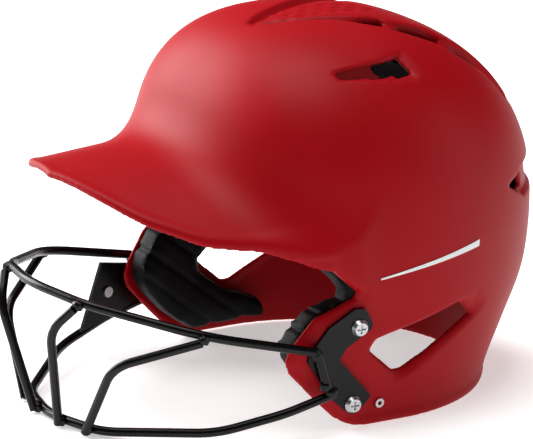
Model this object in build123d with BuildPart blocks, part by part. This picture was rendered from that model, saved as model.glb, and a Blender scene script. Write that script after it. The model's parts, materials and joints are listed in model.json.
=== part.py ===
"""Batting helmet with a wire face mask.

Frame: +Z up, the wearer faces -Y, the wearer's left is +X. The rim stands on Z = 0.
All sizes are in millimetres.
"""

import os
from math import cos, pi, radians, sin

from build123d import *

# ---------------------------------------------------------------- driving dimensions
WALL = 3.5  # moulded shell thickness
CENTRE_Y = 34.0  # middle of the dome, front to back
WIDEST_Z = 102.0  # height of the widest section
HALF_WIDTH = 107.0
FRONT_LENGTH = 89.0  # from the middle to the forehead
REAR_LENGTH = 122.7
FRONT_POWER = 2.5  # how square the outline is from above; 2 is an ellipse
REAR_POWER = 2.0
CROWN_RISE = 105.0  # from the widest section to the crown
CROWN_POWERS = (2.5, 2.9, 2.0)  # how square the crown is seen from the front, at the forehead and rear

# Lower sections of the dome: height, half width, length in front of and behind the middle,
# and the powers of the front and the rear.
SECTIONS = [
    (0.0, 95.3, 122.0, 90.6, 3.2, 2.0),
    (11.0, 95.3, 122.0, 95.0, 3.2, 2.0),
    (34.0, 97.5, 122.0, 107.0, 3.2, 2.0),
    (59.0, 101.0, 115.0, 119.0, 2.9, 2.0),
    (83.0, 105.0, 100.0, 122.5, 2.7, 2.0),
    (WIDEST_Z, HALF_WIDTH, FRONT_LENGTH, REAR_LENGTH, FRONT_POWER, REAR_POWER),
]
SECTION_POINTS = 20
CROWN_STEPS = [12, 24, 36, 48, 59, 69, 77, 83]  # degrees up the crown, to a small flat top

BRIM_TIP = (-129.0, 139.0)  # Y and Z of the middle of its front edge
BRIM_ROOT_Y = -20.0
BRIM_RADIUS = 138.0  # arch of the upper face, seen from the front
BRIM_THICKNESS = 4.0
BRIM_SLOPE = 0.065  # rise towards the rear
BRIM_EDGE = [(0, -130), (36, -121), (61, -108), (75, -92), (84, -77), (92, -48), (101, -20), (98, -2)]

# Side view outlines, as (Y, Z) points.
FACE_EDGE = [
    (4.5, 0), (-6.3, 5.8), (-17, 16.2), (-33.2, 34.4), (-35.8, 41.6), (-32.2, 49.7),
    (-20.2, 65.4), (1.2, 75), (2.5, 78), (-10, 90), (-21, 104),
]
EAR_WINDOW = [(29, 28.7), (34, 29), (79.5, 51.4), (71, 59.7), (28, 50.5), (17, 48), (13.7, 42.5)]
SIDE_VENT = [(10.2, 189.6), (49.2, 191.2), (52, 185.8)]
REAR_VENT = [(111, 118), (129, 119), (129.5, 111), (116, 112)]
CROWN_VENTS = [(22, 43, 63), (28, 67, 95), (34, 100, 116)]  # X, and Y from and to
CROWN_VENT_WIDTH = 6.0

# Padding, from the shell inwards.
FASTENER_DEPTH = 1.5
FOAM_DEPTH = 5.0
PAD_DEPTH = 7.5
EAR_PAD_DEPTH = 16.0
GAP = 0.1  # between one layer and the next
FASTENER_RADIUS = 10.0
EAR_PAD = [
    (2, 5), (-16, 19), (-31, 37), (-33, 45), (-29, 55), (-19, 68), (-1, 77), (-12, 92), (-17, 103),
    (14, 104), (40, 92), (42, 66), (24, 56), (12, 48), (10, 40), (26, 25), (48, 17), (48, 5),
]

# Mask: 5 mm steel wire and plates 2 mm thick.
WIRE = 5.0
PLATE = 2.0
PLATE_CLEARANCE = 0.3
TOP_WIRE = [(101.2, -15.5, 27.5), (101.5, -22, 48.5), (91, -84, 64), (42, -131, 76.5), (0, -141, 79)]
TOP_BENDS = [5, 60, 35, 60]
LOWER_WIRE = [(100.9, -11, 23.5), (99, -40, 16.5), (87, -76, 8), (40, -120, 2.6), (0, -130, 2.6)]
LOWER_BENDS = [60, 45, 40, 60]
OUTER_BAR = [(90.3, -86.6, 61), (60, -124, 45), (34, -126.5, 1.5)]
OUTER_BENDS = [22]
INNER_BAR = [(39, -135.4, 73.6), (28, -144, 60), (13.5, -131.8, 1.5)]
INNER_BENDS = [22]
MASK_PLATE = [
    (0, 69.6), (6, 69.3), (11.5, 59.5), (10.5, 56.5), (-3.4, 47.7), (-7.4, 41), (12.7, 18.3),
    (12.5, 16.5), (4, 8.7), (0.4, 9), (-10.7, 19), (-25.3, 42.1), (-24.6, 46), (-14.2, 60.2),
]
# Side panel on the right: its corners, as distance forward of its rear line and height.
SIDE_PANEL = [(-5, 24), (-2.5, 41), (1, 46), (22, 50.5), (37, 13.5), (15, 18)]
PANEL_REAR = (-95.7, -26.0)  # X and Y of the inner face at the rear line
PANEL_FRONT = (-88.0, -62.0)
SCREW_SITES = [(3.5, 58.9), (2.3, 14.6)]  # Y and Z
SCREW_HEAD = 4.85  # radii from here on
SCREW_SHANK = 2.2
NUT_BARREL = 3.0
NUT_FLANGE = 6.0
NUT_FLANGE_DEPTH = 1.2
RIVET_SITE = (18.0, 33.0)  # on the side panel
RIVET_HEAD = 3.0
RIVET_SHANK = 1.6
EYELET_SITE = (19.8, 11.9)
EYELET_BARREL = 1.9
EYELET_FLANGE = 2.6
EYELET_BORE = 1.2

FRAME_SHIFT = -5.0  # moves the ear flaps' lower corners back so that Y = 0 is halfway along
REACH = 200.0  # longer than anything that a cutter passes through
SEAT_GAP = 0.5  # a flat flange on the curved inner face of the shell
STANDING = (Align.CENTER, Align.CENTER, Align.MIN)
HANGING = (Align.CENTER, Align.CENTER, Align.MAX)


# ---------------------------------------------------------------- the head shape
def section_value(z, column):
    """A column of SECTIONS at height z, found between the two sections beside it."""
    for low, high in zip(SECTIONS, SECTIONS[1:]):
        if z <= high[0]:
            share = (z - low[0]) / (high[0] - low[0])
            return low[column] + share * (high[column] - low[column])
    return SECTIONS[-1][column]


def surface_x(y, z):
    """X of the left side of the dome at (y, z), for heights up to the widest section."""
    width, front, rear, front_power, rear_power = (section_value(z, i) for i in range(1, 6))
    length, power = (rear, rear_power) if y > CENTRE_Y else (front, front_power)
    across = abs(y - CENTRE_Y) / length
    return width * (1 - across**power) ** (1 / power)


def section_outline(section, inset):
    """Points round one horizontal section, starting at the rear."""
    _, width, front, rear, front_power, rear_power = section
    points = []
    for i in range(SECTION_POINTS):
        turn = 2 * pi * i / SECTION_POINTS
        length, power = (rear, rear_power) if cos(turn) >= 0 else (front, front_power)
        bulge = (abs(cos(turn)) ** power + abs(sin(turn)) ** power) ** (-1 / power)
        points.append(
            (-sin(turn) * bulge * (width - inset), CENTRE_Y + cos(turn) * bulge * (length - inset))
        )
    return points


def dome(inset):
    """Closed solid of the head shape, smaller by inset all round."""
    crown_sections = []
    for slope in CROWN_STEPS:
        up = sin(radians(slope))
        lengths = [
            (size - inset) * (1 - up**power) ** (1 / power) + inset
            for size, power in zip((HALF_WIDTH, FRONT_LENGTH, REAR_LENGTH), CROWN_POWERS)
        ]
        crown_sections.append(
            (WIDEST_Z + (CROWN_RISE - inset) * up, *lengths, FRONT_POWER, REAR_POWER)
        )
    with BuildPart() as solid:
        for section in SECTIONS + crown_sections:
            with BuildSketch(Plane.XY.offset(section[0])):
                with BuildLine():
                    Spline(*section_outline(section, inset), periodic=True)
                make_face()
        loft()
    return solid.part


def side_prism(points, start, end):
    """Solid with a side view outline, between two values of X."""
    with BuildPart() as prism:
        with BuildSketch(Plane.YZ.offset(start)):
            with BuildLine():
                Polyline(*points, close=True)
            make_face()
        extrude(amount=end - start)
    return prism.part


def rounded_prism(points, start, end, radius):
    """The same, with round corners."""
    with BuildPart() as prism:
        with BuildSketch(Plane.YZ.offset(start)) as outline:
            with BuildLine():
                Polyline(*points, close=True)
            make_face()
            fillet(outline.vertices(), radius)
        extrude(amount=end - start)
    return prism.part


def outward(y, z, side=1):
    """Plane on the dome at (y, z), facing outwards: side is 1 for the left and -1 for the right."""
    step = 1.0
    slope_y = (surface_x(y + step, z) - surface_x(y - step, z)) / (2 * step)
    slope_z = (surface_x(y, z + step) - surface_x(y, z - step)) / (2 * step)
    return Plane(
        origin=(surface_x(y, z) * side, y, z),
        x_dir=(slope_y * side, 1, 0),
        z_dir=(side, -slope_y, -slope_z),
    )


def write(piece, name):
    """Move one piece into the helmet's frame, label it and write it to its own file."""
    placed = piece.moved(Location((0, FRAME_SHIFT, 0)))
    placed.label = name
    export_step(placed, f"parts/{name}.step")


os.makedirs("parts", exist_ok=True)

head_outside = dome(0)
head_inside = dome(WALL)
fastener_inside = dome(WALL + FASTENER_DEPTH)
foam_outside = dome(WALL + FASTENER_DEPTH + GAP)
foam_inside = dome(WALL + FASTENER_DEPTH + FOAM_DEPTH)
pad_outside = dome(WALL + FASTENER_DEPTH + FOAM_DEPTH + GAP)
pad_inside = dome(WALL + FASTENER_DEPTH + FOAM_DEPTH + PAD_DEPTH)
ear_pad_outside = dome(WALL + GAP)
ear_pad_inside = dome(WALL + EAR_PAD_DEPTH)

# ---------------------------------------------------------------- outer shell
brim_arch_plane = Plane(
    origin=(0, BRIM_ROOT_Y, BRIM_TIP[1] + BRIM_SLOPE * (BRIM_ROOT_Y - BRIM_TIP[0]) - BRIM_RADIUS),
    x_dir=(1, 0, 0),
    z_dir=(0, -1, -BRIM_SLOPE),
)

with BuildPart() as brim:
    with BuildSketch(brim_arch_plane):
        Circle(BRIM_RADIUS)
        Circle(BRIM_RADIUS - BRIM_THICKNESS, mode=Mode.SUBTRACT)
    extrude(amount=REACH, both=True)
    with BuildSketch(Plane.XY.offset(90)):
        with BuildLine():
            left_edge = Spline(*BRIM_EDGE, tangents=((1, 0), (-0.2, 1)))
            mirror(left_edge, about=Plane.YZ)
            Line(left_edge @ 1, (-BRIM_EDGE[-1][0], BRIM_EDGE[-1][1]))
        make_face()
    extrude(amount=60, mode=Mode.INTERSECT)

with BuildPart() as under_brim:
    with BuildSketch(brim_arch_plane):
        Circle(BRIM_RADIUS - BRIM_THICKNESS)
    extrude(amount=REACH, both=True)
    add(
        side_prism(FACE_EDGE + [(-21, 160), (-160, 160), (-160, -20), (4.5, -20)], -REACH, REACH),
        mode=Mode.INTERSECT,
    )

with BuildPart() as shell_openings:
    for side in (-1, 1):
        add(rounded_prism(EAR_WINDOW, 60 * side, 120 * side, 2.2))
        add(side_prism(SIDE_VENT, 40 * side, 110 * side))
        add(side_prism(REAR_VENT, 66 * side, 110 * side))
        for vent_x, vent_start, vent_end in CROWN_VENTS:
            with BuildSketch(Plane.XY.offset(150)):
                with Locations((vent_x * side, (vent_start + vent_end) / 2)):
                    SlotOverall(vent_end - vent_start, CROWN_VENT_WIDTH, rotation=90)
            extrude(amount=80)
        for site in SCREW_SITES:
            with Locations(outward(*site, side)):
                Cylinder(NUT_BARREL + 0.05, 4 * WALL)
        with Locations(outward(*EYELET_SITE, side)):
            Cylinder(EYELET_BARREL + 0.05, 4 * WALL)

with BuildPart() as outer_shell:
    add(head_outside)
    add(brim.part)
    add(head_inside, mode=Mode.SUBTRACT)
    add(under_brim.part, mode=Mode.SUBTRACT)
    add(shell_openings.part, mode=Mode.SUBTRACT)
write(outer_shell.part, "outer_shell")


# ---------------------------------------------------------------- padding
def pad_zones():
    """Solids that mark where each pad lies: name and zone."""
    with BuildPart() as crown:
        with BuildSketch(Plane.XY.offset(150)):
            with Locations((0, 36)):
                RectangleRounded(88, 112, 26)
        extrude(amount=80)
    with BuildPart() as front:
        with BuildSketch(Plane.XZ.offset(20)):
            with Locations((0, 163)):
                RectangleRounded(112, 38, 12)
        extrude(amount=80)
    with BuildPart() as rear:
        with BuildSketch(Plane.XZ.offset(-90)):
            with Locations((0, 120)):
                RectangleRounded(110, 84, 16)
        extrude(amount=-90)
    with BuildPart() as side:
        with BuildSketch(Plane.YZ.offset(40)):
            with Locations((38, 141)):
                RectangleRounded(92, 64, 16)
        extrude(amount=80)
    return [
        ("crown", crown.part),
        ("front", front.part),
        ("rear", rear.part),
        ("left_side", side.part),
        ("right_side", mirror(side.part, about=Plane.YZ)),
    ]


for zone_name, zone in pad_zones():
    with BuildPart() as foam:
        add(foam_outside)
        add(zone, mode=Mode.INTERSECT)
        add(foam_inside, mode=Mode.SUBTRACT)
    write(foam.part, f"{zone_name}_foam")
    with BuildPart() as pad:
        add(pad_outside)
        add(zone, mode=Mode.INTERSECT)
        add(pad_inside, mode=Mode.SUBTRACT)
    write(pad.part, f"{zone_name}_pad")

with BuildPart() as left_ear_pad:
    add(ear_pad_outside)
    add(rounded_prism(EAR_PAD, 50, 120, 3), mode=Mode.INTERSECT)
    add(ear_pad_inside, mode=Mode.SUBTRACT)
    for site in SCREW_SITES + [EYELET_SITE]:
        with Locations(outward(*site).offset(-WALL)):
            Cylinder(NUT_FLANGE + 1, 5, mode=Mode.SUBTRACT)
write(left_ear_pad.part, "left_ear_pad")

right_ear_pad = mirror(left_ear_pad.part, about=Plane.YZ)
write(right_ear_pad, "right_ear_pad")

# Hook-and-loop discs between the shell and the firm foam.
with BuildPart() as disc_zones:
    with BuildSketch(Plane.XY.offset(150)):
        with Locations((0, 0), (0, 72)):
            Circle(FASTENER_RADIUS)
    extrude(amount=80)
    with BuildSketch(Plane.XZ.offset(20)):
        with Locations((-30, 163), (30, 163)):
            Circle(FASTENER_RADIUS)
    extrude(amount=80)
    with BuildSketch(Plane.XZ.offset(-90)):
        with Locations((-28, 120), (28, 120)):
            Circle(FASTENER_RADIUS)
    extrude(amount=-90)
    for side in (-1, 1):
        with BuildSketch(Plane.YZ.offset(50 * side)):
            with Locations((12, 141), (64, 141)):
                Circle(FASTENER_RADIUS)
        extrude(amount=80 * side)

with BuildPart() as pad_fasteners:
    add(ear_pad_outside)
    add(disc_zones.part, mode=Mode.INTERSECT)
    add(fastener_inside, mode=Mode.SUBTRACT)
write(pad_fasteners.part, "pad_fasteners")


# ---------------------------------------------------------------- mask wires
def flipped(points):
    """The same points on the wearer's right."""
    return [(-x, y, z) for x, y, z in points]


def wire(points, bends):
    """Round bar along a path of straight runs and arcs."""
    with BuildPart() as bar:
        with BuildLine() as path:
            FilletPolyline(*points, radius=bends)
        with BuildSketch(Plane(origin=path.line @ 0, z_dir=path.line % 0)):
            Circle(WIRE / 2)
        sweep()
    return bar.part


def hoop(points, bends):
    """Round bar that is the same on both sides, with its last point in the middle."""
    return wire(points + flipped(points[:-1])[::-1], bends + bends[-2::-1])


write(hoop(TOP_WIRE, TOP_BENDS), "mask_top_wire")
write(hoop(LOWER_WIRE, LOWER_BENDS), "mask_lower_wire")
write(wire(OUTER_BAR, OUTER_BENDS), "mask_left_outer_bar")
write(wire(INNER_BAR, INNER_BENDS), "mask_left_inner_bar")
write(wire(flipped(OUTER_BAR), OUTER_BENDS), "mask_right_outer_bar")
write(wire(flipped(INNER_BAR), INNER_BENDS), "mask_right_inner_bar")

# ---------------------------------------------------------------- mask plates
plate_outside = dome(-PLATE_CLEARANCE - PLATE)
plate_inside = dome(-PLATE_CLEARANCE)

with BuildPart() as left_mask_plate:
    add(plate_outside)
    add(rounded_prism(MASK_PLATE, 70, 120, 1.2), mode=Mode.INTERSECT)
    add(plate_inside, mode=Mode.SUBTRACT)
    for site in SCREW_SITES:
        with Locations(outward(*site)):
            Cylinder(SCREW_SHANK + 0.3, 4 * WALL, mode=Mode.SUBTRACT)
write(left_mask_plate.part, "left_mask_plate")

panel_plane = Plane(
    origin=(*PANEL_REAR, 0),
    x_dir=(PANEL_FRONT[0] - PANEL_REAR[0], PANEL_FRONT[1] - PANEL_REAR[1], 0),
    z_dir=(PANEL_FRONT[1] - PANEL_REAR[1], PANEL_REAR[0] - PANEL_FRONT[0], 0),
)
rivet_plane = Plane(
    origin=panel_plane.from_local_coords((*RIVET_SITE, 0)),
    z_dir=-panel_plane.z_dir,
)
with BuildPart() as right_mask_plate:
    add(mirror(left_mask_plate.part, about=Plane.YZ))
    with BuildSketch(panel_plane):
        with BuildLine():
            Polyline(*SIDE_PANEL, close=True)
        make_face()
    extrude(amount=PLATE)
    with Locations(rivet_plane):
        Cylinder(RIVET_SHANK, 4 * PLATE, mode=Mode.SUBTRACT)
write(right_mask_plate.part, "right_mask_plate")


# ---------------------------------------------------------------- fasteners
def mask_screw(seat):
    """Cross recess screw whose round head rests on the seat plane."""
    head_depth = 2.2
    shank_length = 8.0
    with BuildPart() as screw:
        with BuildSketch(seat):
            Circle(SCREW_HEAD)
        extrude(amount=head_depth, taper=28)
        with Locations(seat):
            Cylinder(SCREW_SHANK, shank_length, align=HANGING)
        with Locations(seat.offset(head_depth)):
            Box(5.0, 0.9, 2.0, mode=Mode.SUBTRACT)
            Box(0.9, 5.0, 2.0, mode=Mode.SUBTRACT)
    return screw.part


def tee_nut(seat):
    """Threaded barrel with a flange against the inside of the shell, which is the seat plane."""
    with BuildPart(seat) as nut:
        Cylinder(NUT_FLANGE, NUT_FLANGE_DEPTH, align=HANGING)
        Cylinder(NUT_BARREL, WALL - GAP, align=STANDING)
        Cylinder(SCREW_SHANK + 0.02, 4 * WALL, mode=Mode.SUBTRACT)
    return nut.part


def eyelet(seat):
    """Tubular rivet through the shell for a chin strap, with a flange on both faces."""
    flange_depth = 0.6
    with BuildPart(seat) as rivet:
        with Locations((0, 0, SEAT_GAP)):
            Cylinder(EYELET_FLANGE, flange_depth, align=STANDING)
            Cylinder(EYELET_BARREL, WALL + 3 * SEAT_GAP, align=HANGING)
        with Locations((0, 0, -WALL - SEAT_GAP)):
            Cylinder(EYELET_FLANGE, flange_depth, align=HANGING)
        Cylinder(EYELET_BORE, 4 * WALL, mode=Mode.SUBTRACT)
    return rivet.part


with BuildPart() as mask_screws:
    for side in (-1, 1):
        for site in SCREW_SITES:
            add(mask_screw(outward(*site, side).offset(PLATE_CLEARANCE + PLATE + SEAT_GAP)))
write(mask_screws.part, "mask_screws")

with BuildPart() as mask_tee_nuts:
    for side in (-1, 1):
        for site in SCREW_SITES:
            add(tee_nut(outward(*site, side).offset(-WALL - SEAT_GAP)))
write(mask_tee_nuts.part, "mask_tee_nuts")

write(eyelet(outward(*EYELET_SITE)), "left_strap_eyelet")
write(eyelet(outward(*EYELET_SITE, -1)), "right_strap_eyelet")

with BuildPart(rivet_plane) as plate_rivet:
    Cylinder(RIVET_SHANK, PLATE, align=HANGING)
    Cylinder(RIVET_HEAD, 1.4, align=STANDING)
    with Locations((0, 0, -PLATE)):
        Cylinder(RIVET_HEAD, 1.2, align=HANGING)
write(plate_rivet.part, "plate_rivet")
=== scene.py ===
"""Batting helmet with a wire face mask: the looks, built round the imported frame.

Sizes are in millimetres in the helmet's own coordinates: x to the wearer's left, y to the rear
from the ear flaps' lower front corners, z up from the rim. to_scene() turns them into metres in
the frame.
"""

import json
import math

import bmesh
import bpy
import numpy as np
import openvdb
from mathutils import Matrix, Vector


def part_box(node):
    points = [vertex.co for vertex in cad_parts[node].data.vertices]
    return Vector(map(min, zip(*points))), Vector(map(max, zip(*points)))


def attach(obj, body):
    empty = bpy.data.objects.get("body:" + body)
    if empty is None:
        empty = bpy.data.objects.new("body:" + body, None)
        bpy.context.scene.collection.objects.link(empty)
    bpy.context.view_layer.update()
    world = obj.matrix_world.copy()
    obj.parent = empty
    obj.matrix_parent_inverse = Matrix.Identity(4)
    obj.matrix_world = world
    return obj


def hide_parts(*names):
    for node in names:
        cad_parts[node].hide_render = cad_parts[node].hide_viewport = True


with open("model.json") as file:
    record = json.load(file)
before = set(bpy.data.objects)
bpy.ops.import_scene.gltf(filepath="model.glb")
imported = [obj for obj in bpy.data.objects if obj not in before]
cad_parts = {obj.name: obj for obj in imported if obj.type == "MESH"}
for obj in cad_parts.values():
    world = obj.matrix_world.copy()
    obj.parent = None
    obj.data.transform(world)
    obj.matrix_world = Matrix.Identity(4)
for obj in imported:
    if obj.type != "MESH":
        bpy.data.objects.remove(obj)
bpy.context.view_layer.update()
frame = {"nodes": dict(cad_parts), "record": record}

MM = 0.001
SHELL_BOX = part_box("outer_shell")
CENTRE_Y = 34.0
HALF_LENGTH = 122.7
# The frame's origin is halfway along the helmet, the coordinates' origin is at the ear flaps.
SHIFT = SHELL_BOX[1].y / MM - CENTRE_Y - HALF_LENGTH

# ---------------------------------------------------------------- the head shape
WALL = 3.5
WIDEST = 102.0
RISE = 105.0
SIDE_ROUND, FRONT_ROUND, REAR_ROUND = 2.5, 2.9, 2.0
HEIGHTS = np.array([0, 11, 34, 59, 83, WIDEST])
HALF_WIDTHS = [95.3, 95.3, 97.5, 101, 105, 107]
FRONT_LENGTHS = [122, 122, 122, 115, 100, 89]
REAR_LENGTHS = [90.6, 95, 107, 119, 122.5, HALF_LENGTH]
FRONT_POWERS = [3.2, 3.2, 3.2, 2.9, 2.7, 2.5]
REAR_POWERS = [2.0, 2.0, 2.0, 2.0, 2.0, 2.0]

BRIM_EDGE = [(0, -130), (36, -121), (61, -108), (75, -92), (84, -77), (92, -48), (101, -20), (100, -2)]
BRIM_TIP = (-129.0, 139.0)
BRIM_RADIUS = 136.0
BRIM_SLOPE = 0.065
BRIM_BLEND = 22.0

FACE_EDGE = [
    (4.5, 0), (-6.3, 5.8), (-17, 16.2), (-33.2, 34.4), (-35.8, 41.6), (-32.2, 49.7),
    (-20.2, 65.4), (1.2, 75), (2.5, 78), (-10, 90), (-21, 104),
    (-21, 160), (-170, 160), (-170, -40), (4.5, -40),
]
EAR_WINDOW = [(29, 28.7), (34, 29), (79.5, 51.4), (71, 59.7), (28, 50.5), (17, 48), (13.7, 42.5)]
EAR_RECESS = [(28, 23.5), (35, 23), (94, 54.8), (84, 65.5), (28, 53), (15, 49.5), (10.5, 42.5)]
SIDE_VENT = [(7.5, 187.4), (9, 189.2), (49.5, 191.0), (53, 184.0)]
SIDE_RECESS = [(5, 189.6), (8, 191.2), (54, 195.0), (63, 184.0), (50, 182.6)]
REAR_VENT = [(83, 118), (66, 119), (66, 111), (78, 112)]
REAR_RECESS = [(87, 117.5), (70, 123.5), (-5, 123.5), (-5, 103), (72, 105)]
# Slots in the crown: x, y, half width, half length.
CROWN_VENTS = [(22.5, 53, 3.0, 11), (28.5, 81, 3.0, 15), (34, 108, 3.0, 9)]


def to_scene(points):
    """Millimetres in helmet coordinates to metres in the frame."""
    return (np.asarray(points, float) + (0, SHIFT, 0)) * MM


def smooth_step(low, high, value):
    share = np.clip((value - low) / (high - low), 0, 1)
    return share * share * (3 - 2 * share)


def soft_min(a, b, reach):
    overlap = np.maximum(reach - np.abs(a - b), 0) / reach
    return np.minimum(a, b) - overlap * overlap * reach / 4


def soft_max(a, b, reach):
    return -soft_min(-a, -b, reach)


def height_curve(z, values):
    """Smooth curve through the section values, level at the widest height."""
    values = np.asarray(values, float)
    slopes = np.gradient(values, HEIGHTS)
    slopes[-1] = 0
    z = np.clip(z, HEIGHTS[0], HEIGHTS[-1])
    i = np.clip(np.searchsorted(HEIGHTS, z, side="right") - 1, 0, len(HEIGHTS) - 2)
    gap = HEIGHTS[i + 1] - HEIGHTS[i]
    t = (z - HEIGHTS[i]) / gap
    return (
        (2 * t**3 - 3 * t**2 + 1) * values[i]
        + (t**3 - 2 * t**2 + t) * gap * slopes[i]
        + (3 * t**2 - 2 * t**3) * values[i + 1]
        + (t**3 - t**2) * gap * slopes[i + 1]
    )


def head_level(x, y, z):
    """0 on the head shape, negative inside: roughly a share of its radius."""
    width = height_curve(z, HALF_WIDTHS)
    rear = y > CENTRE_Y
    length = np.where(rear, height_curve(z, REAR_LENGTHS), height_curve(z, FRONT_LENGTHS))
    power = np.where(rear, height_curve(z, REAR_POWERS), height_curve(z, FRONT_POWERS))
    sideways = np.abs(x) / width
    lengthways = np.abs(y - CENTRE_Y) / length
    across = (sideways**power + lengthways**power) ** (1 / power)
    share = lengthways**2 / (lengthways**2 + sideways**2 + 1e-6)
    roundness = SIDE_ROUND + (np.where(rear, REAR_ROUND, FRONT_ROUND) - SIDE_ROUND) * share
    up = np.maximum(z - WIDEST, 0) / RISE
    return (across**roundness + up**roundness) ** (1 / roundness) - 1


def head_x(y, z):
    """x of the left side of the head shape at (y, z)."""
    low, high = 0.0, 130.0
    for _ in range(30):
        middle = (low + high) / 2
        if head_level(*(np.array(float(value)) for value in (middle, y, z))) < 0:
            low = middle
        else:
            high = middle
    return low


def outline_distance(u, v, points):
    """Signed distance in a plane to a closed outline, negative inside."""
    nearest = np.full(np.broadcast(u, v).shape, 1e9)
    inside = np.zeros(nearest.shape, bool)
    for (u0, v0), (u1, v1) in zip(points, points[1:] + points[:1]):
        run_u, run_v = u1 - u0, v1 - v0
        along = np.clip(((u - u0) * run_u + (v - v0) * run_v) / (run_u**2 + run_v**2), 0, 1)
        nearest = np.minimum(nearest, np.hypot(u - u0 - along * run_u, v - v0 - along * run_v))
        crosses = (v0 > v) != (v1 > v)
        if v1 != v0:
            inside ^= crosses & (u < (v - v0) * run_u / run_v + u0)
    return np.where(inside, -nearest, nearest)


def smooth_path(points, count):
    """Catmull-Rom curve through a list of points."""
    points = np.asarray(points, float)
    ends = np.vstack([2 * points[0] - points[1], points, 2 * points[-1] - points[-2]])
    path = []
    for i in range(1, len(ends) - 2):
        for t in np.linspace(0, 1, count, endpoint=False):
            a, b, c, d = ends[i - 1 : i + 3]
            square = 2 * a - 5 * b + 4 * c - d
            cube = 3 * b - a - 3 * c + d
            path.append(0.5 * (2 * b + (c - a) * t + square * t**2 + cube * t**3))
    path.append(points[-1])
    return path


# ---------------------------------------------------------------- shell
def shoulder_line(y):
    """Half width of the crown's hollow, from its tip at the front."""
    return np.interp(y, [-4, 3, 23, 35, 49, 67, 94, 125, 150], [3, 8, 17, 23, 32, 41, 48, 49, 44])


def crown_lining(x, y):
    """1 where the wall is thickened inwards under the crown's hollow, and round it."""
    return smooth_step(3, -3, np.abs(x) - shoulder_line(y) - 6) * smooth_step(-3, 3, y + 9)


def crown_relief(x, y):
    """How far the crown stands out from the head shape: a central spine between two channels."""
    side = np.abs(x)
    spine = np.interp(y, [6, 12, 36, 56, 80, 100, 120, 150], [3, 7, 15, 21, 27, 30, 31, 31])
    shoulder = shoulder_line(y)
    spine_level = np.interp(y, [0, 20, 60, 110, 150], [-1.6, -1.2, -1.0, 0.2, 0.8])
    channel_level = np.interp(y, [0, 60, 100, 130], [-3.8, -4.2, -3.8, -2.0])
    edge = 1.3
    on_spine = smooth_step(edge, -edge, side - spine)
    in_channel = smooth_step(edge, -edge, side - shoulder)
    front_lip = -5 + 0.6 * np.maximum(side - 4, 0)
    active = smooth_step(-edge, edge, y - front_lip)
    level = channel_level + (spine_level - channel_level) * on_spine
    # Rows of small dimples along the top of the spine.
    for row, first in ((-6.5, 14), (0, 19), (6.5, 14)):
        nearest_y = first + np.clip(np.round((y - first) / 10), 0, 5) * 10
        dimple = ((x - row) / 1.5) ** 2 + ((y - nearest_y) / 3.2) ** 2
        level = level - 0.9 * smooth_step(1.6, 0.3, dimple)
    return level * in_channel * active


def facet(window, recess):
    """1 at the window's edge, 0 at the recess's edge and beyond: a flat sloping border."""
    inside = np.maximum(-recess, 0)
    return inside / (inside + np.maximum(window, 0) + 1e-6)


def shell_field(x, y, z, step):
    """Signed distance to the shell on a grid, as it is for x >= 0."""
    level = head_level(x, y, z)
    slope = np.gradient(level, step)
    head = level / np.sqrt(sum(part * part for part in slope))

    window = outline_distance(y[0], z[0], EAR_WINDOW)
    recess = outline_distance(y[0], z[0], EAR_RECESS)
    vent = outline_distance(y[0], z[0], SIDE_VENT)
    vent_recess = outline_distance(y[0], z[0], SIDE_RECESS)
    face = outline_distance(y[0], z[0], FACE_EDGE)
    plan_x, plan_y = x[:, :, 0], y[:, :, 0]
    crown = np.where(z > 140, crown_relief(plan_x, plan_y)[:, :, None], 0)
    crown = crown * smooth_step(147, 152, z)

    relief = -3.0 * facet(window, recess) * (x > 50) - 2.4 * facet(vent, vent_recess) * (x > 30)
    rim = np.clip(1 - face / 7, 0, 1) * (z < 100)
    relief = relief - 2.6 * rim + 0.8 * smooth_step(6.0, 4.5, z)
    rear_x, rear_z = x[:, 0, :], z[:, 0, :]
    rear_vent = outline_distance(rear_x, rear_z, REAR_VENT)
    rear_recess = outline_distance(rear_x, rear_z, REAR_RECESS)
    behind = y > 60
    rear_depth = 3.0 * smooth_step(0, -4.0, rear_recess)[:, None, :] * behind
    outside = head - relief - crown + rear_depth
    lining = np.minimum(0.7 * relief, 0)
    lining = lining - 3.0 * crown_lining(plan_x, plan_y)[:, :, None] * smooth_step(143, 150, z)
    inside = head + WALL - lining + 0.7 * rear_depth

    brim_top = BRIM_TIP[1] + BRIM_SLOPE * (y - BRIM_TIP[0]) - BRIM_RADIUS - 2
    arch = np.hypot(x, np.maximum(z - brim_top, 0))
    edge = [tuple(p) for p in smooth_path(BRIM_EDGE, 10)] + [(0, -2), (-20, -2), (-20, -130)]
    plan = outline_distance(plan_x, plan_y, edge)[:, :, None]
    thickness = 1.9 + 0.7 * smooth_step(-7, -2, plan)
    brim = soft_max(np.abs(arch - BRIM_RADIUS) - thickness, plan, 2.5)
    brim = soft_max(brim, 80 - z, 2)
    outside = soft_min(outside, brim, BRIM_BLEND)

    shell = soft_max(outside, -inside, 1.2)
    under_brim = np.maximum(arch - BRIM_RADIUS + thickness, face)
    shell = soft_max(shell, -under_brim, 2.0)
    shell = soft_max(shell, -z, 2.0)
    shell = np.where(x > 50, soft_max(shell, -window, 1.4), shell)
    shell = np.where(x > 30, soft_max(shell, -vent, 0.6), shell)
    hole = np.where(behind, rear_vent[:, None, :], 50)
    shell = soft_max(shell, -hole, 1.2)
    for vent_x, vent_y, half_width, half_length in CROWN_VENTS:
        slot = 1 - np.hypot((plan_x - vent_x) / half_width, (plan_y - vent_y) / half_length)
        cut = soft_max(shell, (slot * half_width)[:, :, None], 1.0)
        shell = np.where(z > 140, cut, shell)
    return shell


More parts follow.
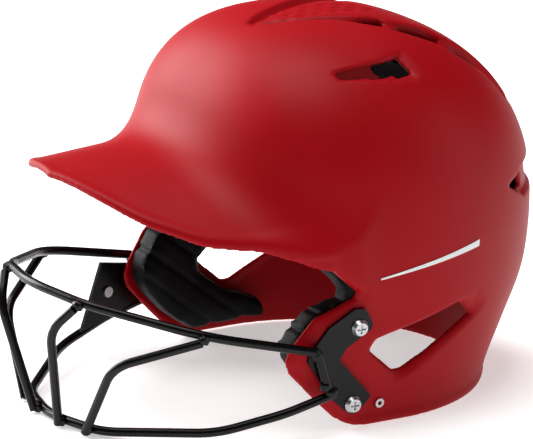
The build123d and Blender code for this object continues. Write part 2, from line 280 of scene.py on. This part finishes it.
def mesh_object(name, vertices, faces):
    mesh = bpy.data.meshes.new(name)
    mesh.from_pydata([tuple(v) for v in vertices], [], [tuple(f) for f in faces])
    mesh.update()
    obj = bpy.data.objects.new(name, mesh)
    bpy.context.scene.collection.objects.link(obj)
    return obj


def grid_object(name, vertices, quads):
    """Object from large numpy arrays of vertices and quads."""
    mesh = bpy.data.meshes.new(name)
    mesh.vertices.add(len(vertices))
    mesh.vertices.foreach_set("co", np.asarray(vertices, np.float32).ravel())
    mesh.loops.add(quads.size)
    mesh.loops.foreach_set("vertex_index", quads.astype(np.int32).ravel())
    mesh.polygons.add(len(quads))
    mesh.polygons.foreach_set("loop_start", np.arange(0, quads.size, 4, dtype=np.int32))
    mesh.polygons.foreach_set("use_smooth", np.ones(len(quads), bool))
    mesh.update(calc_edges=True)
    mesh.validate()
    obj = bpy.data.objects.new(name, mesh)
    bpy.context.scene.collection.objects.link(obj)
    return obj


def apply_modifiers(obj):
    """Replace an object's mesh by what its modifiers make of it."""
    evaluated = obj.evaluated_get(bpy.context.evaluated_depsgraph_get())
    mesh = bpy.data.meshes.new_from_object(evaluated)
    obj.modifiers.clear()
    obj.data = mesh
    mesh.polygons.foreach_set("use_smooth", [True] * len(mesh.polygons))


def make_shell():
    step = 1.25
    margin = 3
    low = np.array([-margin * step, -138.0, -4.0])
    high = np.array([112.0, 162.0, 216.0])
    axes = [np.arange(a, b, step) for a, b in zip(low, high)]
    x, y, z = np.meshgrid(*axes, indexing="ij")
    half = shell_field(x, y, z, step)
    half = half[margin:]
    whole = np.concatenate([half[:0:-1], half]).astype(np.float32)
    grid = openvdb.FloatGrid()
    grid.background = 3 * step
    grid.copyFromArray(np.clip(whole, -3 * step, 3 * step))
    vertices, quads = grid.convertToQuads(isovalue=0.0)
    origin = np.array([-(len(half) - 1) * step, low[1], low[2]])
    shell = grid_object("shell", to_scene(vertices * step + origin), quads[:, ::-1])
    smooth = shell.modifiers.new("smooth", "SMOOTH")
    smooth.factor = 0.5
    smooth.iterations = 5
    fewer = shell.modifiers.new("fewer", "DECIMATE")
    fewer.ratio = 0.42
    apply_modifiers(shell)
    return shell


# ---------------------------------------------------------------- materials
def new_material(name, colour, roughness, metallic=0.0):
    material = bpy.data.materials.new(name)
    material.use_nodes = True
    shader = material.node_tree.nodes["Principled BSDF"]
    shader.inputs["Base Color"].default_value = (*colour, 1)
    shader.inputs["Roughness"].default_value = roughness
    shader.inputs["Metallic"].default_value = metallic
    return material, material.node_tree, shader


def add_node(tree, kind, **values):
    node = tree.nodes.new(kind)
    for key, value in values.items():
        if key in node.inputs:
            node.inputs[key].default_value = value
        else:
            setattr(node, key, value)
    return node


def object_noise(tree, scale, detail=3.0):
    place = add_node(tree, "ShaderNodeTexCoord")
    noise = add_node(tree, "ShaderNodeTexNoise", Scale=scale, Detail=detail)
    tree.links.new(place.outputs["Object"], noise.inputs["Vector"])
    return noise.outputs["Fac"]


def bump_from(tree, shader, height, strength, distance):
    bump = add_node(tree, "ShaderNodeBump", Strength=strength, Distance=distance)
    tree.links.new(height, bump.inputs["Height"])
    tree.links.new(bump.outputs["Normal"], shader.inputs["Normal"])


def ramp_between(tree, factor, low, high, start=0.0, end=1.0):
    ramp = add_node(tree, "ShaderNodeValToRGB")
    ramp.color_ramp.elements[0].position = start
    ramp.color_ramp.elements[0].color = (*low, 1)
    ramp.color_ramp.elements[1].position = end
    ramp.color_ramp.elements[1].color = (*high, 1)
    tree.links.new(factor, ramp.inputs["Fac"])
    return ramp.outputs["Color"]


def shell_material():
    material, tree, shader = new_material("shell_red", (0.32, 0.0, 0.004), 0.5)
    shader.inputs["Specular IOR Level"].default_value = 0.14
    mottle = object_noise(tree, 18.0)
    colour = ramp_between(tree, mottle, (0.33, 0.0, 0.003), (0.37, 0.0, 0.005), 0.3, 0.7)
    tree.links.new(colour, shader.inputs["Base Color"])
    bump_from(tree, shader, object_noise(tree, 1400.0, 2.0), 0.08, 0.0002)
    return material


def coated_metal():
    material, tree, shader = new_material("mask_coating", (0.002, 0.002, 0.0022), 0.28)
    shader.inputs["Specular IOR Level"].default_value = 0.22
    rough = add_node(tree, "ShaderNodeMapRange")
    rough.inputs["To Min"].default_value = 0.22
    rough.inputs["To Max"].default_value = 0.34
    tree.links.new(object_noise(tree, 60.0), rough.inputs["Value"])
    tree.links.new(rough.outputs["Result"], shader.inputs["Roughness"])
    bump_from(tree, shader, object_noise(tree, 700.0), 0.12, 0.0003)
    return material


def bright_metal():
    material, tree, shader = new_material("bright_steel", (0.55, 0.55, 0.56), 0.33, 1.0)
    colour = ramp_between(tree, object_noise(tree, 900.0), (0.42, 0.42, 0.43), (0.62, 0.62, 0.63), 0.3, 0.7)
    tree.links.new(colour, shader.inputs["Base Color"])
    bump_from(tree, shader, object_noise(tree, 2500.0), 0.2, 0.0001)
    return material


def fabric():
    material, tree, shader = new_material("wrapped_pad", (0.004, 0.004, 0.005), 0.55)
    shader.inputs["Specular IOR Level"].default_value = 0.1
    shader.inputs["Sheen Weight"].default_value = 0.02
    shader.inputs["Sheen Roughness"].default_value = 0.4
    place = add_node(tree, "ShaderNodeTexCoord")
    knit = add_node(tree, "ShaderNodeTexVoronoi", Scale=900.0)
    tree.links.new(place.outputs["Object"], knit.inputs["Vector"])
    bump_from(tree, shader, knit.outputs["Distance"], 0.35, 0.0004)
    dark, light = (0.002, 0.002, 0.003), (0.005, 0.005, 0.006)
    colour = ramp_between(tree, object_noise(tree, 70.0), dark, light, 0.35, 0.7)
    tree.links.new(colour, shader.inputs["Base Color"])
    return material


def foam():
    material, tree, shader = new_material("firm_foam", (0.012, 0.012, 0.013), 0.85)
    shader.inputs["Specular IOR Level"].default_value = 0.1
    place = add_node(tree, "ShaderNodeTexCoord")
    cells = add_node(tree, "ShaderNodeTexVoronoi", Scale=700.0)
    tree.links.new(place.outputs["Object"], cells.inputs["Vector"])
    bump_from(tree, shader, cells.outputs["Distance"], 0.5, 0.0005)
    return material


def hook_and_loop():
    material, tree, shader = new_material("hook_loop", (0.006, 0.006, 0.006), 0.9)
    shader.inputs["Specular IOR Level"].default_value = 0.1
    bump_from(tree, shader, object_noise(tree, 1800.0), 0.8, 0.0006)
    return material


def accent_paint():
    material, tree, shader = new_material("accent_white", (0.86, 0.86, 0.86), 0.4)
    colour = ramp_between(tree, object_noise(tree, 40.0), (0.82, 0.82, 0.82), (0.9, 0.9, 0.9), 0.3, 0.7)
    tree.links.new(colour, shader.inputs["Base Color"])
    return material


RED = shell_material()
BLACK = coated_metal()
STEEL = bright_metal()
FABRIC = fabric()
FOAM = foam()
HOOKS = hook_and_loop()
WHITE = accent_paint()


def dress(obj, material):
    obj.data.materials.clear()
    obj.data.materials.append(material)


def finish_piece(obj, material, slot_name, *replaced):
    dress(obj, material)
    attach(obj, "root")
    if replaced:
        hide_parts(*replaced)


shell = make_shell()
finish_piece(shell, RED, "shell_red", "outer_shell")

NODE_MATERIALS = {
    "mask_coating": BLACK,
    "bright_steel": STEEL,
    "wrapped_pad": FABRIC,
    "firm_foam": FOAM,
    "hook_loop": HOOKS,
    "shell_red": RED,
}
for part in frame["record"]["subparts"]:
    node = frame["nodes"][part["node"]]
    if part["node"] == "outer_shell":
        continue
    for i in range(len(node.material_slots)):
        node.material_slots[i].material = NODE_MATERIALS[part["material_slot"]]


# ---------------------------------------------------------------- padding
def rounded_copy(node, name, voxel, shrink):
    """Remeshed copy of a CAD node, drawn in by shrink."""
    source = frame["nodes"][node]
    copy = bpy.data.objects.new(name, source.data.copy())
    copy.matrix_world = source.matrix_world
    bpy.context.scene.collection.objects.link(copy)
    remesh = copy.modifiers.new("remesh", "REMESH")
    remesh.mode = "VOXEL"
    remesh.voxel_size = voxel
    smooth = copy.modifiers.new("smooth", "SMOOTH")
    smooth.factor = 0.5
    smooth.iterations = 3
    apply_modifiers(copy)
    mesh = copy.data
    normals = [vertex.normal.copy() for vertex in mesh.vertices]
    for vertex, normal in zip(mesh.vertices, normals):
        vertex.co -= normal * shrink
    return copy


def point_array(mesh):
    points = np.empty(len(mesh.vertices) * 3, np.float32)
    mesh.vertices.foreach_get("co", points)
    return points.reshape(-1, 3)


def inflate(obj, cap):
    """Swell a closed piece with a cloth simulation, and keep it off the shell."""
    start = point_array(obj.data)
    scene = bpy.context.scene
    cloth = obj.modifiers.new("cloth", "CLOTH")
    settings = cloth.settings
    settings.quality = 4
    settings.use_pressure = True
    settings.uniform_pressure_force = 4.0
    settings.tension_stiffness = 12
    settings.compression_stiffness = 12
    settings.bending_stiffness = 0.4
    settings.effector_weights.gravity = 0
    cloth.point_cache.frame_start = 1
    cloth.point_cache.frame_end = 20
    for number in range(1, 21):
        scene.frame_set(number)
    evaluated = obj.evaluated_get(bpy.context.evaluated_depsgraph_get())
    end = point_array(evaluated.data)
    obj.modifiers.clear()
    scene.frame_set(1)
    moved = end - start
    away = start - np.array(to_scene((0, CENTRE_Y, WIDEST)))
    away[:, 2] = np.maximum(away[:, 2], 0)
    away /= np.linalg.norm(away, axis=1)[:, None]
    outward = np.maximum((moved * away).sum(axis=1), 0)
    moved -= away * outward[:, None]
    length = np.linalg.norm(moved, axis=1)[:, None]
    moved *= np.minimum(1, cap / np.maximum(length, 1e-9))
    obj.data.vertices.foreach_set("co", (start + moved).ravel())
    obj.data.update()


def groove_depth(points, spacing, slant):
    """Depth of sewn channels that run across a pad on a slant."""
    along = points[:, 1] * math.cos(slant) + points[:, 2] * math.sin(slant)
    phase = np.abs(along / spacing - np.round(along / spacing)) * spacing
    return np.exp(-((phase / 0.0016) ** 2))


def quilt(obj, spacing, slant, depth):
    """Press sewn channels into a pad after one subdivision."""
    divide = obj.modifiers.new("divide", "SUBSURF")
    divide.levels = 1
    apply_modifiers(obj)
    mesh = obj.data
    points = point_array(mesh)
    normals = np.empty(len(mesh.vertices) * 3, np.float32)
    mesh.vertex_normals.foreach_get("vector", normals)
    press = groove_depth(points, spacing, slant) * depth
    mesh.vertices.foreach_set("co", (points - normals.reshape(-1, 3) * press[:, None]).ravel())
    mesh.update()


# Each pad's channel spacing in metres and slant in radians.
PADS = {
    "crown": (0.022, 0.0),
    "front": (0.024, math.pi / 2),
    "rear": (0.024, math.pi / 2),
    "left_side": (0.022, 0.6),
    "right_side": (0.022, 0.6),
    "left_ear": (0.013, 0.9),
    "right_ear": (0.013, 0.9),
}
for name, (spacing, slant) in PADS.items():
    pad = rounded_copy(f"{name}_pad", f"{name}_cushion", 0.003 if "ear" in name else 0.004, 0.0008)
    inflate(pad, 0.003)
    quilt(pad, spacing, slant, 0.0012)
    finish_piece(pad, FABRIC, "wrapped_pad", f"{name}_pad")
    if "ear" in name:
        continue
    block = rounded_copy(f"{name}_foam", f"{name}_liner", 0.002, 0.0)
    finish_piece(block, FOAM, "firm_foam", f"{name}_foam")

# ---------------------------------------------------------------- welds
def add_weld(builder, place, size, turn):
    """Add a lumpy bead of weld metal to the builder's mesh."""
    matrix = Matrix.Translation(Vector(to_scene(place))) @ Matrix.Rotation(turn, 4, "Z")
    made = bmesh.ops.create_icosphere(builder, subdivisions=3, radius=1)
    for vertex in made["verts"]:
        x, y, z = vertex.co
        lump = 1 + 0.09 * math.sin(7 * x + 2 * z) + 0.07 * math.cos(9 * y - 3 * x)
        vertex.co = matrix @ (Vector((x * size[0], y * size[1], z * size[2])) * MM * lump)


WELDS = [
    ((34, -125.2, 3.4), (3.6, 3.0, 3.2), -0.4),
    ((13.5, -130.2, 3.2), (3.6, 3.0, 3.2), -0.1),
    ((90.0, -85.2, 62.4), (3.4, 3.2, 3.0), 1.2),
    ((39.6, -133.4, 75.4), (3.4, 3.0, 3.0), 0.4),
    ((101.6, -22.4, 46.6), (2.4, 3.4, 3.2), 0.0),
    ((101.8, -17.2, 29.0), (2.4, 3.4, 3.2), 0.0),
    ((101.4, -13.4, 24.6), (2.6, 4.0, 3.0), 0.0),
]
builder = bmesh.new()
for place, size, turn in WELDS:
    for side in (-1, 1):
        add_weld(builder, (side * place[0], place[1], place[2]), size, side * turn)
weld_mesh = bpy.data.meshes.new("weld_beads")
builder.to_mesh(weld_mesh)
builder.free()
weld_mesh.polygons.foreach_set("use_smooth", [True] * len(weld_mesh.polygons))
welds = bpy.data.objects.new("weld_beads", weld_mesh)
bpy.context.scene.collection.objects.link(welds)
finish_piece(welds, BLACK, "mask_coating")

# ---------------------------------------------------------------- accent stripe
def make_stripe(side):
    """Thin tapered stripe on the side of the shell."""
    start, end = (15.0, 84.5), (80.0, 93.5)
    columns, rows = 60, 3
    vertices = []
    for i in range(columns + 1):
        along = i / columns
        half = 1.9 * (0.25 + 0.75 * along)
        for j in range(rows + 1):
            y = start[0] + along * (end[0] - start[0])
            z = start[1] + along * (end[1] - start[1]) + half * (2 * j / rows - 1)
            vertices.append((side * (head_x(y, z) + 0.25), y, z))
    faces = []
    for i in range(columns):
        for j in range(rows):
            a = i * (rows + 1) + j
            faces.append((a, a + 1, a + rows + 2, a + rows + 1))
    stripe = mesh_object("left_stripe" if side > 0 else "right_stripe", to_scene(vertices), faces)
    thick = stripe.modifiers.new("thickness", "SOLIDIFY")
    thick.thickness = 0.0002
    finish_piece(stripe, WHITE, "shell_red")


make_stripe(1)
make_stripe(-1)

# ---------------------------------------------------------------- stage, light and camera
AZIMUTH = math.radians(60)
ELEVATION = math.radians(17)
DISTANCE = 4.0
SCALE = 1.827 / MM  # pixels per metre at the target
IMAGE_WIDTH = 533
FLOOR_Z = -0.0005
TARGET = Vector(to_scene((-20.2, 16.7, 84.5)))


def set_camera():
    data = bpy.data.cameras.new("camera")
    camera = bpy.data.objects.new("camera", data)
    bpy.context.scene.collection.objects.link(camera)
    back = Vector(
        (
            math.sin(AZIMUTH) * math.cos(ELEVATION),
            -math.cos(AZIMUTH) * math.cos(ELEVATION),
            math.sin(ELEVATION),
        )
    )
    camera.location = TARGET + back * DISTANCE
    camera.rotation_euler = (-back).to_track_quat("-Z", "Y").to_euler()
    data.sensor_width = 36
    data.lens = data.sensor_width * SCALE * DISTANCE / IMAGE_WIDTH
    data.clip_end = 100
    bpy.context.scene.camera = camera


def add_light(name, location, target, size, power, colour=(1, 1, 1)):
    data = bpy.data.lights.new(name, "AREA")
    data.shape = "RECTANGLE"
    data.size, data.size_y = size
    data.energy = power
    data.color = colour
    light = bpy.data.objects.new(name, data)
    light.location = location
    direction = Vector(target) - Vector(location)
    light.rotation_euler = direction.to_track_quat("-Z", "Y").to_euler()
    bpy.context.scene.collection.objects.link(light)


def set_stage():
    material, tree, shader = new_material("floor", (0.85, 0.85, 0.85), 0.9)
    shader.inputs["Specular IOR Level"].default_value = 0.0
    shader.inputs["Emission Color"].default_value = (1, 1, 1, 1)
    shader.inputs["Emission Strength"].default_value = 0.5
    corners = [(-9, -9), (9, -9), (9, 9), (-9, 9)]
    floor = mesh_object("floor", [(x, y, FLOOR_Z) for x, y in corners], [(0, 1, 2, 3)])
    dress(floor, material)
    world = bpy.data.worlds.new("world")
    world.use_nodes = True
    world.node_tree.nodes["Background"].inputs["Color"].default_value = (1, 1, 1, 1)
    world.node_tree.nodes["Background"].inputs["Strength"].default_value = 0.06
    bpy.context.scene.world = world
    add_light("top", (-0.2, -0.3, 2.4), (0, 0, 0.1), (1.8, 1.8), 58)
    add_light("side", (-1.6, -0.8, 0.85), (0, -0.03, 0.14), (1.3, 1.3), 54)
    add_light("rim", (0.9, 1.5, 0.6), (0, 0.05, 0.12), (0.3, 1.0), 5)
    bpy.context.scene.view_settings.view_transform = "Standard"


set_stage()
set_camera()
